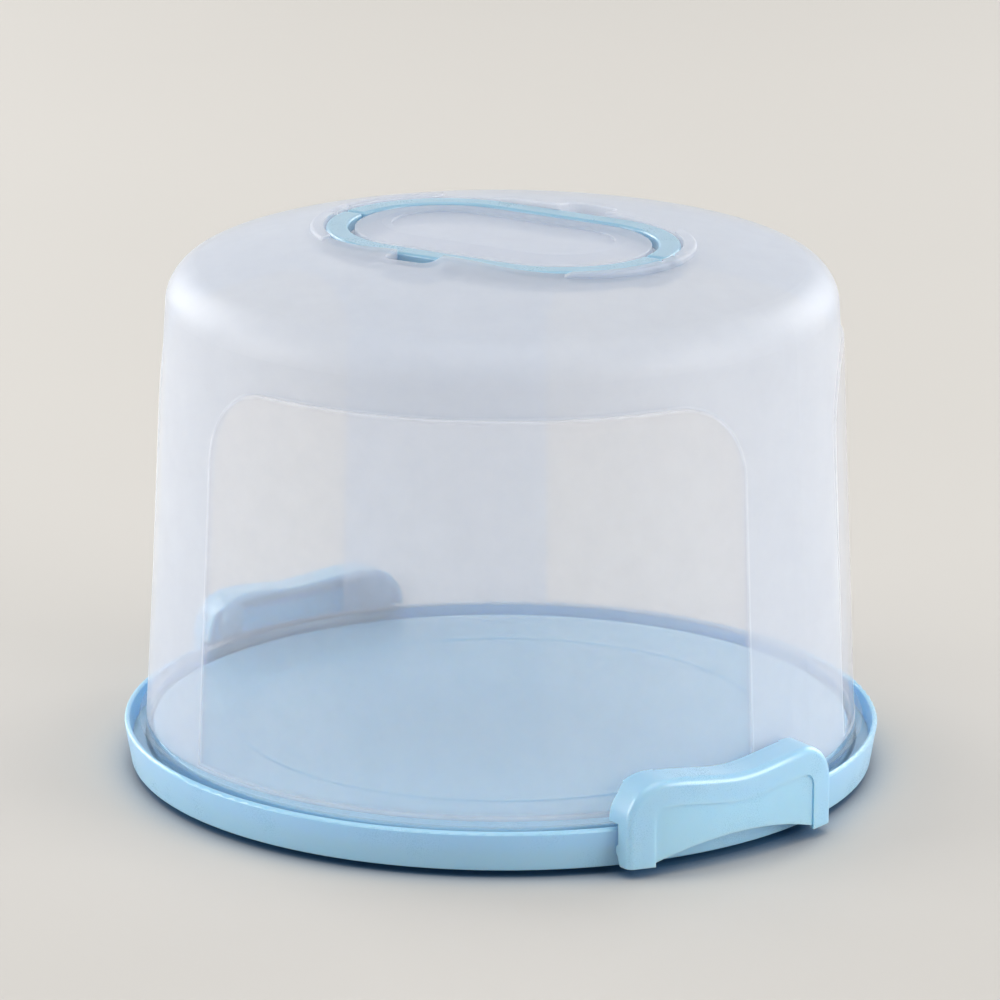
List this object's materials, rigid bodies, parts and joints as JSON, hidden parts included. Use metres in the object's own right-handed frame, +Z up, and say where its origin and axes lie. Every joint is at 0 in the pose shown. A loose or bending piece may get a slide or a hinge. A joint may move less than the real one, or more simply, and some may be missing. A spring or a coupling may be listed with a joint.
{
  "type": "cake container",
  "caption": "Round cake carrier with a shallow tray, a tall frosted cover with clearer window panels, clips that swing over its flange and a fold-flat oval top handle.",
  "frame": {"origin": "on the table under the cover's axis, at the bottom centre of the bounding box", "axes": "+X towards the front clip, +Z up, +Y 90 degrees from +X seen from above; the clips are on the X axis"},
  "size_m": [0.33, 0.3146, 0.2273],
  "materials": {
    "blue_plastic": "smooth moulded",
    "frosted_plastic": "frosted, with smoother window panels"
  },
  "bodies": {
    "base": {"base_tray": "blue_plastic", "tray_rim": "blue_plastic"},
    "front_clip": {"latch_front": "blue_plastic"},
    "rear_clip": {"latch_rear": "blue_plastic"},
    "cover": {"dome_cover": "frosted_plastic", "cover_foot": "frosted_plastic"},
    "front_handle": {"handle_front": "blue_plastic"},
    "rear_handle": {"handle_rear": "blue_plastic"}
  },
  "joints": [
    {"name": "latch_front_swing", "type": "hinge", "parent": "base", "child": "front_clip", "pos_m": [0.1514, 0, 0.0108], "axis": [0, 1, 0], "range_deg": [0, 44]},
    {"name": "latch_rear_swing", "type": "hinge", "parent": "base", "child": "rear_clip", "pos_m": [-0.1514, 0, 0.0108], "axis": [0, -1, 0], "range_deg": [0, 44]},
    {"name": "dome_lift", "type": "slide", "parent": "base", "child": "cover", "axis": [0, 0, 1], "range_m": [0, 0.23]},
    {"name": "handle_front_fold", "type": "hinge", "parent": "cover", "child": "front_handle", "pos_m": [0.00212, -0.00518, 0.2224], "axis": [-0.9255, -0.3786, 0], "range_deg": [0, 90]},
    {"name": "handle_rear_fold", "type": "hinge", "parent": "cover", "child": "rear_handle", "pos_m": [-0.00212, 0.00518, 0.2224], "axis": [0.9255, 0.3786, 0], "range_deg": [0, 90]}
  ]
}
